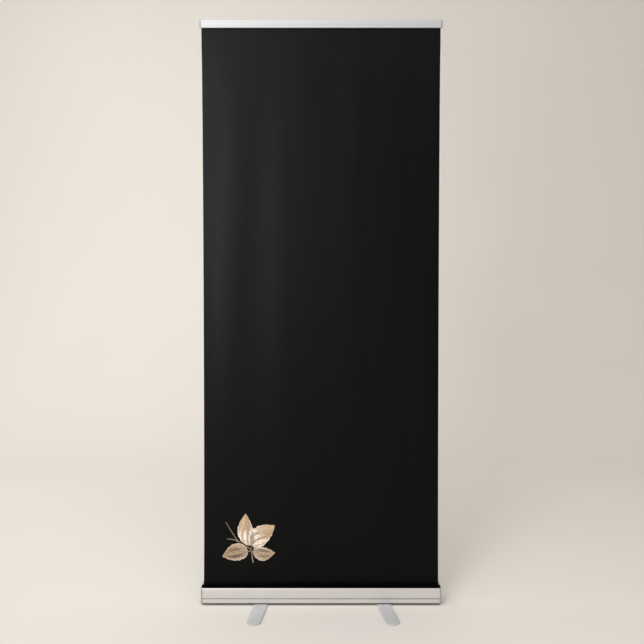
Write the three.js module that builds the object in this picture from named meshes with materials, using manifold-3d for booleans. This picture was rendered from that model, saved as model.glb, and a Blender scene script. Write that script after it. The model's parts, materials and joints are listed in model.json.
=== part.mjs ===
// Roll-up banner stand: a cassette base with a spring roller, a telescopic pole behind the graphic, a clamp
// rail at its top and two swivelling feet. Millimetres, +Z up, the graphic faces -Y, origin on the floor under
// the middle.
import * as THREE from "three";
import { mergeVertices } from "three/addons/utils/BufferGeometryUtils.js";
import Module from "manifold-3d";

const wasm = await Module();
wasm.setup();

// ---------- driving dimensions ----------
const GAP = 0.3; // clearance between pieces that touch
const CORNER_STEPS = 3; // facets in a rounded corner of an outline
const ROUND_STEPS = { large: 24, medium: 16, small: 10 }; // sides of a turned piece
const GRAPHIC_WIDTH = 850;
const GRAPHIC_THICKNESS = 0.5;

const BASE = { front: -45, rear: 48, bottom: 6.5, top: 66, wall: 1.6, halfLength: 426 };
const SLOT = { front: -15.5, rear: -10.5 }; // gap in the top of the housing that the graphic leaves by
const GRAPHIC_Y = (SLOT.front + SLOT.rear) / 2;
const TRIM = { front: -42.6, thickness: 2.6 };
const END_CAP = { thickness: 4.2, proud: 0.9, round: 1.4 };
const CAP_SCREW = { head: 3.1, headHeight: 1.8, sink: 2, shank: 1.5, length: 15, port: 1.85, portWall: 1.5 };
const CAP_SCREW_PLACES = [
  [-39.5, 12.5],
  [44, 13],
  [-40.5, 54],
  [44, 57],
]; // [y, z] of the four screw ports in the housing

const ROLLER = { radius: 15, wall: 1.2, wrap: 1.3, z: 36, halfLength: 421 };
// The front of the wound leader is under the slot.
const ROLLER_Y = GRAPHIC_Y + GRAPHIC_THICKNESS / 2 + ROLLER.radius + ROLLER.wrap;
const PLUG = { flange: 15.4, flangeLength: 3, spigotLength: 22 };
const AXLE = { radius: 4, reach: 24 };
const ARBOR = { radius: 3.5, length: 230 };
const SPRING = { radius: 9.4, wire: 1.3, turns: 14, stepsPerTurn: 9, length: 190 };

const POLE_Y = 34;
const POLE = [
  { name: "lower_pole_tube", outer: 9, inner: 7.8, from: 20, to: 742 },
  { name: "middle_pole_tube", outer: 7.5, inner: 6.3, from: 682, to: 1402 },
  { name: "upper_pole_tube", outer: 6, inner: 4.8, from: 1342, to: 2049.7 },
];
const SOCKET = { bore: 9.3, outer: 10.5, flange: 12, flangeHeight: 2, bottom: 16, floor: 3.5 };
const COLLAR = { below: 20, above: 20, wall: 2.9, lip: 4.4 };

const RAIL = { front: 7, rear: 27, bottom: 2060, top: 2090, wall: 1.6, halfLength: 425.3 };
const RAIL_GRAPHIC_Y = 15; // the graphic leans back to here at the top
const RAIL_HINGE = { y: 10.3, z: 2086.7, bead: 1.5, hook: 1.9, outer: 3.3 };
const RAIL_CAP = { thickness: 6.4, round: 1.2 };

const FOOT = { length: 416, width: 48, bottom: 1.5, thickness: 3, pivotHole: 4.2 };
const PIVOT_X = { left: -211, right: 221 };
const FOOT_SPLAY = { left: -5.5, right: 7 }; // degrees about +Z
const FOOT_PAD = { length: 34, width: 30, inset: 30 };
const RIVET = { shank: 3.8, lowerHead: 7.5, lowerHeight: 0.9, upperHead: 6.5, upperHeight: 2 };

// ---------- materials ----------
const surface = (color, roughness, metalness) => {
  return new THREE.MeshStandardMaterial({ color, roughness, metalness });
};
const anodised = surface(0xcfccc6, 0.38, 0.85);
const railSilver = surface(0xe2e2e0, 0.35, 0.8);
const capPlastic = surface(0xbfc0be, 0.45, 0.1);
const blackPlastic = surface(0x0c0c0d, 0.5, 0.0);
const blackFilm = surface(0x0e0e10, 0.4, 0.0);
const greyFilm = surface(0x9a9a98, 0.5, 0.0);
const zincSteel = surface(0xb9bcbf, 0.4, 0.9);
const springSteel = surface(0x55585c, 0.35, 0.95);
const footSilver = surface(0xb9bbbd, 0.4, 0.7);
const rubber = surface(0x1a1a1a, 0.85, 0.0);
const nylon = surface(0xe9e6dd, 0.6, 0.0);

// ---------- geometry helpers ----------
function meshOf(name, geometry, material) {
  const mesh = new THREE.Mesh(geometry, material);
  mesh.name = name;
  return mesh;
}

function toSolid(geometry) {
  const bare = geometry.clone();
  bare.deleteAttribute("normal");
  bare.deleteAttribute("uv");
  const merged = mergeVertices(bare, 1e-4);
  return new wasm.Manifold(
    new wasm.Mesh({
      numProp: 3,
      vertProperties: merged.attributes.position.array,
      triVerts: new Uint32Array(merged.index.array),
    }),
  );
}

function fromSolid(solid) {
  const mesh = solid.getMesh();
  const geometry = new THREE.BufferGeometry();
  geometry.setAttribute("position", new THREE.BufferAttribute(new Float32Array(mesh.vertProperties), 3));
  geometry.setIndex(new THREE.BufferAttribute(new Uint32Array(mesh.triVerts), 1));
  return geometry;
}

const joined = (first, ...others) => fromSolid(others.reduce((sum, g) => sum.add(toSolid(g)), toSolid(first)));
const cut = (body, ...tools) => fromSolid(tools.reduce((rest, g) => rest.subtract(toSolid(g)), toSolid(body)));

// The shape's x becomes Y, its y becomes Z, and its depth runs along X.
const ALONG_X = new THREE.Matrix4().makeBasis(
  new THREE.Vector3(0, 1, 0),
  new THREE.Vector3(0, 0, 1),
  new THREE.Vector3(1, 0, 0),
);

// A straight bar along X whose section is drawn in the YZ plane, from x = from to x = to.
function barAlongX(shape, from, to) {
  const settings = { depth: to - from, bevelEnabled: false, curveSegments: CORNER_STEPS };
  return new THREE.ExtrudeGeometry(shape, settings).applyMatrix4(ALONG_X).translate(from, 0, 0);
}

// A plate across X with a convex outline, whose outer edge is rounded by pulling its last rings in.
function plateAcrossX(shape, from, to, round) {
  const rim = shape.extractPoints(CORNER_STEPS).shape;
  const bounds = new THREE.Box2().setFromPoints(rim);
  const middle = bounds.getCenter(new THREE.Vector2());
  const half = bounds.getSize(new THREE.Vector2()).multiplyScalar(0.5);
  const rings = [[from, 0], ...[0, 45, 90].map((degrees) => {
    const angle = THREE.MathUtils.degToRad(degrees);
    return [to - round + round * Math.sin(angle), round * (1 - Math.cos(angle))];
  })];
  const positions = rings.flatMap(([x, inset]) => rim.flatMap((p) => {
    const y = middle.x + (p.x - middle.x) * (1 - inset / half.x);
    const z = middle.y + (p.y - middle.y) * (1 - inset / half.y);
    return [x, y, z];
  }));
  const count = rim.length;
  const faces = THREE.ShapeUtils.triangulateShape(rim, []);
  const top = (rings.length - 1) * count;
  const index = faces.flatMap(([a, b, c]) => [c, b, a, top + a, top + b, top + c]);
  for (let r = 0; r + 1 < rings.length; r++) {
    for (let i = 0; i < count; i++) {
      const a = r * count + i;
      const b = r * count + ((i + 1) % count);
      index.push(a, b, b + count, a, b + count, a + count);
    }
  }
  const geometry = new THREE.BufferGeometry();
  geometry.setAttribute("position", new THREE.Float32BufferAttribute(positions, 3));
  geometry.setIndex(THREE.ShapeUtils.isClockWise(rim) ? index.reverse() : index);
  return geometry;
}

// A round solid about an axis along Z through x, y; profile points are [radius, z].
function turned(profile, x = 0, y = 0, segments = ROUND_STEPS.large) {
  const points = profile.map(([radius, z]) => new THREE.Vector2(radius, z));
  return new THREE.LatheGeometry(points, segments).rotateX(Math.PI / 2).translate(x, y, 0);
}

function disc(radius, from, to, x = 0, y = 0, segments = ROUND_STEPS.large) {
  return turned([[0, from], [radius, from], [radius, to], [0, to]], x, y, segments);
}

function ring(inner, outer, from, to, x = 0, y = 0, segments = ROUND_STEPS.large) {
  return turned([[inner, from], [outer, from], [outer, to], [inner, to], [inner, from]], x, y, segments);
}

// The same solids lying along X, about an axis through y, z.
const lying = (geometry, y, z) => geometry.rotateY(Math.PI / 2).translate(0, y, z);

function box(x0, x1, y0, y1, z0, z1) {
  const geometry = new THREE.BoxGeometry(x1 - x0, y1 - y0, z1 - z0);
  return geometry.translate((x0 + x1) / 2, (y0 + y1) / 2, (z0 + z1) / 2);
}

// A closed outline through [x, y] points; a third number on a point rounds that corner by that radius.
function outline(points) {
  const shape = new THREE.Shape();
  const count = points.length;
  points.forEach(([x, y, radius = 0], i) => {
    const here = new THREE.Vector2(x, y);
    const before = new THREE.Vector2(...points[(i + count - 1) % count].slice(0, 2));
    const after = new THREE.Vector2(...points[(i + 1) % count].slice(0, 2));
    const into = here.clone().add(before.sub(here).setLength(radius));
    const out = here.clone().add(after.sub(here).setLength(radius));
    if (i === 0) shape.moveTo(into.x, into.y);
    else shape.lineTo(into.x, into.y);
    if (radius > 0) shape.quadraticCurveTo(here.x, here.y, out.x, out.y);
  });
  shape.closePath();
  return shape;
}

// ---------- cassette base ----------
const GROOVE = { from: 24, to: 26.2, depth: 2.4 }; // shadow line along the front panel
const FRONT_BULGE = 0.8; // how far the middle of the front panel stands proud of its edges
const FLOOR_TOP = BASE.bottom + BASE.wall + 0.4;

// Outer face of the housing, from the slot's front lip round the front, floor and rear to the slot's rear lip.
// Closed straight across the slot and the trim's seat, it is also the housing's envelope.
function housingFace() {
  const panelTop = BASE.top - 3;
  const panelMiddle = (panelTop + GROOVE.to) / 2;
  return [
    [BASE.front + 2.2, BASE.top - 0.2, 1],
    [BASE.front + FRONT_BULGE, panelTop, 1.2],
    [BASE.front, panelMiddle, 6],
    [BASE.front + FRONT_BULGE, GROOVE.to + 0.3],
    [BASE.front + FRONT_BULGE + GROOVE.depth, GROOVE.to],
    [BASE.front + FRONT_BULGE + GROOVE.depth, GROOVE.from],
    [BASE.front + FRONT_BULGE * 0.5, GROOVE.from - 0.3],
    [BASE.front + 0.5, BASE.bottom + 2.2, 0.8],
    [BASE.front + 9, BASE.bottom, 2],
    [BASE.rear - 4, BASE.bottom, 1.5],
    [BASE.rear, BASE.bottom + 4, 1.5],
    [BASE.rear, BASE.top, 2],
    [SLOT.rear, BASE.top, 0.8],
  ];
}

function housingShape() {
  const w = BASE.wall;
  const trimSeat = BASE.top - TRIM.thickness - GAP;
  return outline([
    ...housingFace(),
    [SLOT.rear, BASE.top - 6, 0.6],
    [SLOT.rear + w, BASE.top - 6, 0.6],
    [SLOT.rear + w, BASE.top - w],
    [BASE.rear - w, BASE.top - w, 1],
    [BASE.rear - w, FLOOR_TOP, 1],
    [BASE.front + 7, FLOOR_TOP, 1],
    [BASE.front + 3, BASE.bottom + 6],
    [BASE.front + 3 + w, GROOVE.from - 1],
    [BASE.front + 3 + w, GROOVE.to + 1],
    [BASE.front + 2.4, GROOVE.to + 4],
    [BASE.front + 2.4, trimSeat - w - 2, 1],
    [BASE.front + 3.4, trimSeat - w, 0.8],
    [SLOT.front - w, trimSeat - w],
    [SLOT.front - w, trimSeat - 5, 0.5],
    [SLOT.front, trimSeat - 5, 0.5],
    [SLOT.front, trimSeat, 0.6],
    [TRIM.front - 0.2, trimSeat],
  ]);
}

function makeHousing() {
  const length = BASE.halfLength;
  const port = CAP_SCREW.port + CAP_SCREW.portWall;
  const ports = CAP_SCREW_PLACES.map(([y, z]) => {
    return lying(disc(port, -length, length, 0, 0, ROUND_STEPS.small), y, z);
  });
  const bores = CAP_SCREW_PLACES.map(([y, z]) => {
    return lying(disc(CAP_SCREW.port, -length - 1, length + 1, 0, 0, ROUND_STEPS.small), y, z);
  });
  const shell = toSolid(barAlongX(housingShape(), -length, length));
  const envelope = toSolid(barAlongX(outline(housingFace()), -length, length));
  let solid = ports.reduce((sum, g) => sum.add(toSolid(g).intersect(envelope)), shell);
  solid = bores.reduce((rest, g) => rest.subtract(toSolid(g)), solid);
  const poleHole = disc(SOCKET.outer + GAP, SOCKET.bottom - 1, BASE.top + 1, 0, POLE_Y);
  const rivetHoles = Object.values(PIVOT_X).map((x) => {
    return disc(RIVET.shank + GAP, BASE.bottom - 1, FLOOR_TOP + 1, x);
  });
  solid = [poleHole, ...rivetHoles].reduce((rest, g) => rest.subtract(toSolid(g)), solid);
  return meshOf("cassette_housing", fromSolid(solid), anodised);
}

function makeTrim() {
  const top = BASE.top;
  const shape = outline([
    [TRIM.front, top, 0.8],
    [TRIM.front, top - TRIM.thickness],
    [SLOT.front - 0.4, top - TRIM.thickness],
    [SLOT.front - 0.4, top, 0.8],
  ]);
  const half = BASE.halfLength + GAP + END_CAP.thickness - 0.5;
  return meshOf("slot_trim", barAlongX(shape, -half, half), blackPlastic);
}

// The end cap's outline follows the housing and stands a little proud of it all round.
function endCapShape() {
  const p = END_CAP.proud;
  return outline([
    [BASE.front - p + 1.6, BASE.top + p, 2],
    [BASE.front - p, BASE.top - 4, 3],
    [BASE.front - p, BASE.bottom + 4, 3],
    [BASE.front + 8, BASE.bottom - p, 2],
    [BASE.rear - 4, BASE.bottom - p, 2],
    [BASE.rear + p, BASE.bottom + 4, 2],
    [BASE.rear + p, BASE.top + p, 3],
  ]);
}

function makeEndCap(side) {
  const inner = BASE.halfLength + GAP;
  const outer = inner + END_CAP.thickness;
  const plate = plateAcrossX(endCapShape(), inner, outer, END_CAP.round);
  const holes = CAP_SCREW_PLACES.flatMap(([y, z]) => [
    lying(disc(CAP_SCREW.shank + GAP, inner - 1, outer + 1, 0, 0, ROUND_STEPS.small), y, z),
    lying(disc(CAP_SCREW.head + GAP, outer - CAP_SCREW.sink, outer + 1, 0, 0, ROUND_STEPS.small), y, z),
  ]);
  const seatBottom = BASE.top - TRIM.thickness - GAP;
  const trimSeat = box(inner - 1, outer + 1, TRIM.front - GAP, SLOT.front - 0.1, seatBottom, BASE.top + 5);
  const pinRadius = side < 0 ? AXLE.radius : ARBOR.radius;
  const pinBore = disc(pinRadius + GAP, inner - 1, outer + 1, 0, 0, ROUND_STEPS.medium);
  const pinHole = lying(pinBore, ROLLER_Y, ROLLER.z);
  const body = cut(plate, ...holes, pinHole, trimSeat);
  return sided(side < 0 ? "left_end_cap" : "right_end_cap", body, side, capPlastic);
}

// Mirrors a geometry built for the +X end to the other end when side is -1.
function sided(name, geometry, side, material) {
  if (side > 0) return meshOf(name, geometry, material);
  return meshOf(name, fromSolid(toSolid(geometry).mirror([1, 0, 0])), material);
}

function makeCapScrews(side) {
  const face = BASE.halfLength + GAP + END_CAP.thickness - CAP_SCREW.sink + GAP;
  const end = side < 0 ? "left" : "right";
  const places = ["front_low", "rear_low", "front_high", "rear_high"];
  return CAP_SCREW_PLACES.map(([y, z], i) => {
    const profile = [
      [0, face - CAP_SCREW.length],
      [CAP_SCREW.shank, face - CAP_SCREW.length],
      [CAP_SCREW.shank, face],
      [CAP_SCREW.head, face],
      [CAP_SCREW.head * 0.9, face + CAP_SCREW.headHeight * 0.7],
      [CAP_SCREW.head * 0.55, face + CAP_SCREW.headHeight],
      [0, face + CAP_SCREW.headHeight],
    ];
    const screw = lying(turned(profile, 0, 0, ROUND_STEPS.small), y, z);
    return sided(`${end}_cap_screw_${places[i]}`, screw, side, zincSteel);
  });
}

// ---------- spring roller ----------
function makeRoller() {
  const half = ROLLER.halfLength;
  const tube = lying(ring(ROLLER.radius - ROLLER.wall, ROLLER.radius, -half, half), ROLLER_Y, ROLLER.z);
  const wrapHalf = GRAPHIC_WIDTH / 2 - 6;
  const wrapInner = ROLLER.radius + 0.3;
  const wrapOuter = ROLLER.radius + ROLLER.wrap - GAP;
  const wrap = lying(ring(wrapInner, wrapOuter, -wrapHalf, wrapHalf), ROLLER_Y, ROLLER.z);
  return [meshOf("roller_tube", tube, zincSteel), meshOf("leader_wrap", wrap, greyFilm)];
}

// A stepped plug closes each end of the roller tube and turns on the pin through it.
function makeRollerPlug(side) {
  const bore = (side < 0 ? AXLE.radius : ARBOR.radius) + GAP;
  const end = ROLLER.halfLength + GAP;
  const spigot = ROLLER.radius - ROLLER.wall - GAP;
  const profile = [
    [bore, end - PLUG.spigotLength],
    [spigot, end - PLUG.spigotLength],
    [spigot, end],
    [PLUG.flange, end],
    [PLUG.flange, end + PLUG.flangeLength],
    [bore, end + PLUG.flangeLength],
    [bore, end - PLUG.spigotLength],
  ];
  const plug = lying(turned(profile, 0, 0, ROUND_STEPS.medium), ROLLER_Y, ROLLER.z);
  return sided(side < 0 ? "idle_end_plug" : "spring_end_plug", plug, side, nylon);
}

function makeAxlePin() {
  const end = BASE.halfLength + GAP + END_CAP.thickness - 0.6;
  const pin = lying(disc(AXLE.radius, end - AXLE.reach, end, 0, 0, ROUND_STEPS.medium), ROLLER_Y, ROLLER.z);
  return sided("idle_axle_pin", pin, -1, zincSteel);
}

function makeArbor() {
  const end = BASE.halfLength + GAP + END_CAP.thickness - 0.6;
  return meshOf(
    "spring_arbor",
    lying(disc(ARBOR.radius, end - ARBOR.length, end, 0, 0, ROUND_STEPS.medium), ROLLER_Y, ROLLER.z),
    zincSteel,
  );
}

function makeSpring() {
  const end = ROLLER.halfLength - PLUG.spigotLength - 2;
  class Helix extends THREE.Curve {
    getPoint(t, target = new THREE.Vector3()) {
      const angle = t * SPRING.turns * 2 * Math.PI;
      const x = end - t * SPRING.length;
      const y = ROLLER_Y + SPRING.radius * Math.cos(angle);
      return target.set(x, y, ROLLER.z + SPRING.radius * Math.sin(angle));
    }
  }
  const wire = new THREE.Shape();
  wire.absarc(0, 0, SPRING.wire, 0, 2 * Math.PI, false);
  const coil = new THREE.ExtrudeGeometry(wire, {
    steps: SPRING.turns * SPRING.stepsPerTurn,
    curveSegments: 2,
    extrudePath: new Helix(),
  });
  return meshOf("torsion_spring", coil, springSteel);
}

// ---------- graphic ----------
// A thin slab that leans from the slot to the rail, given by its [y, z] at both ends.
function film(name, bottom, top, halfWidth, material) {
  const half = GRAPHIC_THICKNESS / 2;
  const shape = outline([
    [bottom[0] - half, bottom[1]],
    [bottom[0] + half, bottom[1]],
    [top[0] + half, top[1]],
    [top[0] - half, top[1]],
  ]);
  return meshOf(name, barAlongX(shape, -halfWidth, halfWidth), material);
}

const GRAPHIC_BOTTOM = BASE.top - 4;
const GRAPHIC_TOP = RAIL.top - 9;

function makeGraphic() {
  return film(
    "graphic_panel",
    [GRAPHIC_Y, GRAPHIC_BOTTOM],
    [RAIL_GRAPHIC_Y, GRAPHIC_TOP],
    GRAPHIC_WIDTH / 2,
    blackFilm,
  );
}

function makeLeader() {
  const half = GRAPHIC_WIDTH / 2 - 6;
  return film("leader_strip", [GRAPHIC_Y, ROLLER.z], [GRAPHIC_Y, GRAPHIC_BOTTOM - GAP], half, greyFilm);
}

// ---------- telescopic pole ----------
function makeSocket() {
  const seat = BASE.top + GAP;
  const top = seat + SOCKET.flangeHeight;
  const profile = [
    [0, SOCKET.bottom],
    [SOCKET.outer, SOCKET.bottom],
    [SOCKET.outer, seat],
    [SOCKET.flange, seat],
    [SOCKET.flange, top - 0.6],
    [SOCKET.flange - 0.8, top],
    [SOCKET.bore, top],
    [SOCKET.bore, SOCKET.bottom + SOCKET.floor],
    [0, SOCKET.bottom + SOCKET.floor],
  ];
  return meshOf("pole_socket", turned(profile, 0, POLE_Y), blackPlastic);
}

function makePoleTube({ name, outer, inner, from, to }) {
  return meshOf(name, ring(inner, outer, from, to, 0, POLE_Y), anodised);
}

// A twist collar grips the joint between a tube and the thinner tube inside it.
function makeCollar(name, around, inside) {
  const bottom = around.to - COLLAR.below;
  const top = around.to + COLLAR.above;
  const bore = around.outer + 0.4;
  const outer = bore + COLLAR.wall;
  const lipBore = inside.outer + GAP + 0.1;
  const profile = [
    [bore, bottom],
    [outer - 0.8, bottom],
    [outer, bottom + 0.8],
    [outer, top - COLLAR.lip - 3],
    [outer - 2.2, top - 0.6],
    [outer - 2.8, top],
    [lipBore, top],
    [lipBore, top - COLLAR.lip],
    [bore, top - COLLAR.lip],
    [bore, bottom],
  ];
  return meshOf(name, turned(profile, 0, POLE_Y), blackPlastic);
}

// The split sleeve inside a collar, standing on the end of the outer tube.
function makeFerrule(name, around, inside) {
  const bottom = around.to + GAP;
  const top = around.to + COLLAR.above - COLLAR.lip - GAP;
  const sleeve = ring(inside.outer + GAP, around.outer, bottom, top, 0, POLE_Y);
  const slit = box(-0.8, 0.8, POLE_Y, POLE_Y + around.outer + 1, bottom - 1, top + 1);
  return meshOf(name, cut(sleeve, slit), nylon);
}

function makeTubePlug(name, tube) {
  const spigot = tube.inner - GAP;
  const profile = [
    [0, tube.from - GAP - 3],
    [tube.outer, tube.from - GAP - 3],
    [tube.outer, tube.from - GAP],
    [spigot, tube.from - GAP],
    [spigot, tube.from + 9],
    [0, tube.from + 9],
  ];
  return meshOf(name, turned(profile, 0, POLE_Y, ROUND_STEPS.medium), blackPlastic);
}

const HOOK = { bottom: 2050, arm: 6, tabFront: 19, tabRear: 23, tabHalf: 18, spigot: 16 };

function makeTopHook() {
  const tube = POLE[2];
  const cap = disc(tube.outer + 1.2, HOOK.bottom, HOOK.bottom + HOOK.arm, 0, POLE_Y);
  const spigotTop = HOOK.bottom + 1;
  const spigot = disc(tube.inner - GAP, HOOK.bottom - HOOK.spigot, spigotTop, 0, POLE_Y, ROUND_STEPS.medium);
  const arm = box(-9, 9, HOOK.tabFront, POLE_Y, HOOK.bottom, HOOK.bottom + HOOK.arm);
  const roof = RAIL.top - 4 - RAIL.wall - GAP;
  const tab = box(-HOOK.tabHalf, HOOK.tabHalf, HOOK.tabFront, HOOK.tabRear, HOOK.bottom, roof);
  return meshOf("pole_top_hook", joined(cap, spigot, arm, tab), blackPlastic);
}

// ---------- clamp rail ----------
// Points on an arc about the rail's hinge, in degrees from +Y towards +Z.
function arcPoints(radius, from, to, steps) {
  return Array.from({ length: steps + 1 }, (_, i) => {
    const angle = THREE.MathUtils.degToRad(from + ((to - from) * i) / steps);
    return [RAIL_HINGE.y + radius * Math.cos(angle), RAIL_HINGE.z + radius * Math.sin(angle)];
  });
}

const JAW_FACE = RAIL_HINGE.y - RAIL_HINGE.outer; // front of the jaw's face plate
const JAW_GROOVE = { from: 7.4, to: 8.6, depth: 0.5 }; // shadow line above the jaw's lower edge

// The front jaw: a face plate hooked over the hinge bead, with a lip that presses on the graphic.
function makeJaw() {
  const back = RAIL_HINGE.y - RAIL_HINGE.hook;
  const lip = RAIL_GRAPHIC_Y - GRAPHIC_THICKNESS / 2 - GAP;
  const shape = outline([
    ...arcPoints(RAIL_HINGE.outer, 90, 180, 4),
    [JAW_FACE, RAIL.bottom + JAW_GROOVE.to],
    [JAW_FACE + JAW_GROOVE.depth, RAIL.bottom + JAW_GROOVE.to - 0.2],
    [JAW_FACE + JAW_GROOVE.depth, RAIL.bottom + JAW_GROOVE.from + 0.2],
    [JAW_FACE, RAIL.bottom + JAW_GROOVE.from],
    [JAW_FACE, RAIL.bottom, 0.9],
    [lip, RAIL.bottom, 0.5],
    [lip, RAIL.bottom + 4, 0.4],
    [lip - 1.3, RAIL.bottom + 4, 0.4],
    [lip - 1.3, RAIL.bottom + RAIL.wall],
    [back, RAIL.bottom + RAIL.wall],
    ...arcPoints(RAIL_HINGE.hook, 180, 90, 4),
  ]);
  return meshOf("top_rail_jaw", barAlongX(shape, -RAIL.halfLength, RAIL.halfLength), railSilver);
}

// The rear body: the hinge bead, the plate behind the graphic, and the channel that the pole's hook enters.
function makeRailBody() {
  const w = RAIL.wall;
  const plate = RAIL_GRAPHIC_Y + GRAPHIC_THICKNESS / 2 + GAP;
  const neckTop = RAIL_HINGE.z + w / 2;
  const neckBottom = RAIL_HINGE.z - w / 2;
  const roof = RAIL.top - 4;
  const shape = outline([
    ...arcPoints(RAIL_HINGE.bead, 35, 325, 8),
    [RAIL_HINGE.y + RAIL_HINGE.outer, neckBottom],
    [plate, neckBottom],
    [plate, RAIL.bottom + 2],
    [plate + w, RAIL.bottom + 2],
    [plate + w, roof - w],
    [RAIL.rear - w, roof - w],
    [RAIL.rear - w, RAIL.bottom + 6],
    [RAIL.rear, RAIL.bottom + 6],
    [RAIL.rear, roof, 1.2],
    [plate + w + 2, roof + 0.1, 1],
    [plate + w + 1.4, neckTop],
    [RAIL_HINGE.y + RAIL_HINGE.outer, neckTop],
  ]);
  return meshOf("top_rail_body", barAlongX(shape, -RAIL.halfLength, RAIL.halfLength), railSilver);
}

function makeRailCap(side) {
  const shape = outline([
    [RAIL.front, RAIL.bottom, 2],
    [RAIL.rear, RAIL.bottom + 4, 4],
    [RAIL.rear, RAIL.top - 3, 2],
    [RAIL.front + 7, RAIL.top, 3],
    [RAIL.front, RAIL.top, 3.4],
  ]);
  const inner = RAIL.halfLength + GAP;
  const plate = plateAcrossX(shape, inner, inner + RAIL_CAP.thickness, RAIL_CAP.round);
  return sided(side < 0 ? "left_rail_cap" : "right_rail_cap", plate, side, capPlastic);
}

// ---------- feet ----------
function footShape() {
  const radius = FOOT.width / 2;
  const straight = FOOT.length / 2 - radius;
  const shape = new THREE.Shape();
  shape.moveTo(radius, -straight);
  shape.lineTo(radius, straight);
  shape.absarc(0, straight, radius, 0, Math.PI, false);
  shape.lineTo(-radius, -straight);
  shape.absarc(0, -straight, radius, Math.PI, 2 * Math.PI, false);
  const hole = new THREE.Path();
  hole.absarc(0, 0, FOOT.pivotHole, 0, 2 * Math.PI, true);
  shape.holes.push(hole);
  return shape;
}

function makeFoot(end) {
  const foot = new THREE.Group();
  const plate = new THREE.ExtrudeGeometry(footShape(), {
    depth: FOOT.thickness,
    bevelEnabled: false,
    curveSegments: 10,
  });
  foot.add(meshOf(`${end}_foot_plate`, plate.translate(0, 0, FOOT.bottom), footSilver));
  const middle = FOOT.length / 2 - FOOT_PAD.inset;
  for (const [which, y] of [
    ["front", -middle],
    ["rear", middle],
  ]) {
    const half = FOOT_PAD.length / 2;
    const wide = FOOT_PAD.width / 2;
    const shape = outline([
      [-wide, y - half, 5],
      [wide, y - half, 5],
      [wide, y + half, 5],
      [-wide, y + half, 5],
    ]);
    const pad = new THREE.ExtrudeGeometry(shape, {
      depth: FOOT.bottom - GAP,
      bevelEnabled: false,
      curveSegments: CORNER_STEPS,
    });
    foot.add(meshOf(`${end}_foot_pad_${which}`, pad, rubber));
  }
  foot.position.x = PIVOT_X[end];
  foot.rotation.z = THREE.MathUtils.degToRad(FOOT_SPLAY[end]);
  return foot;
}

// The rivet through a foot and the housing's floor, and the washer between them.
function makePivot(end) {
  const x = PIVOT_X[end];
  const plateTop = FOOT.bottom + FOOT.thickness;
  const headTop = FOOT.bottom - GAP;
  const floorHead = FLOOR_TOP + GAP;
  const rivet = turned(
    [
      [0, headTop - RIVET.lowerHeight],
      [RIVET.lowerHead - 0.6, headTop - RIVET.lowerHeight],
      [RIVET.lowerHead, headTop],
      [RIVET.shank, headTop],
      [RIVET.shank, floorHead],
      [RIVET.upperHead, floorHead],
      [RIVET.upperHead - 1, floorHead + RIVET.upperHeight],
      [0, floorHead + RIVET.upperHeight],
    ],
    x,
    0,
    ROUND_STEPS.medium,
  );
  const bore = RIVET.shank + GAP;
  const gapTop = BASE.bottom - GAP;
  const washer = ring(bore, RIVET.lowerHead, plateTop + GAP, gapTop, x, 0, ROUND_STEPS.medium);
  return [meshOf(`${end}_foot_rivet`, rivet, zincSteel), meshOf(`${end}_pivot_washer`, washer, nylon)];
}

// ---------- assembly ----------
const [lowerPole, middlePole, upperPole] = POLE;
const stand = new THREE.Group();
stand.add(makeHousing(), makeTrim(), makeEndCap(-1), makeEndCap(1));
stand.add(...makeCapScrews(-1), ...makeCapScrews(1));
stand.add(...makeRoller(), makeRollerPlug(-1), makeRollerPlug(1), makeAxlePin(), makeArbor(), makeSpring());
stand.add(makeGraphic(), makeLeader());
stand.add(makeSocket(), ...POLE.map(makePoleTube));
stand.add(makeCollar("lower_twist_collar", lowerPole, middlePole));
stand.add(makeCollar("middle_twist_collar", middlePole, upperPole));
stand.add(makeFerrule("lower_lock_ferrule", lowerPole, middlePole));
stand.add(makeFerrule("middle_lock_ferrule", middlePole, upperPole));
stand.add(makeTubePlug("middle_pole_end_plug", middlePole), makeTubePlug("upper_pole_end_plug", upperPole));
stand.add(makeTopHook(), makeRailBody(), makeJaw(), makeRailCap(-1), makeRailCap(1));
stand.add(makeFoot("left"), makeFoot("right"), ...makePivot("left"), ...makePivot("right"));

export default stand;
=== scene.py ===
# Looks of the roll-up banner stand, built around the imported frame. +Z up, the graphic faces -Y.
# Sizes are millimetres and meshes are scaled to metres as they are made.
import json
import math

import bmesh
import bpy
import numpy as np
from mathutils import Matrix, Vector


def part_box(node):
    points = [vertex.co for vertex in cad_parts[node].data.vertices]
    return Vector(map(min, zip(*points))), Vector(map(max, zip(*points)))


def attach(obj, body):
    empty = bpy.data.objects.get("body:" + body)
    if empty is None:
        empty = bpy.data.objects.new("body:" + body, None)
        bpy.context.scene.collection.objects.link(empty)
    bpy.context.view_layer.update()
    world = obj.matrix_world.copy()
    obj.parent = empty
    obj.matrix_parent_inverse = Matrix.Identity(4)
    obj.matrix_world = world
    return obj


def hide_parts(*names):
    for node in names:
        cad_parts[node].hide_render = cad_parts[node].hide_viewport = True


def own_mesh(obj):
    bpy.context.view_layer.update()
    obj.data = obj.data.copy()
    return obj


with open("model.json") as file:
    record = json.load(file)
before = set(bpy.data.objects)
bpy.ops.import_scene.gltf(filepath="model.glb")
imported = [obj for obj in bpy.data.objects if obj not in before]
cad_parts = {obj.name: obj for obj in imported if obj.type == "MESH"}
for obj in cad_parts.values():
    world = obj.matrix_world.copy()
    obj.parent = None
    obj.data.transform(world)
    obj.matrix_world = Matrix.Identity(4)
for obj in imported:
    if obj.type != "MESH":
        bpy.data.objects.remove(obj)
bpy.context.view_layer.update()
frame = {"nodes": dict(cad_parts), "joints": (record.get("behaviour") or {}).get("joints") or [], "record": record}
MM = 0.001


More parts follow.
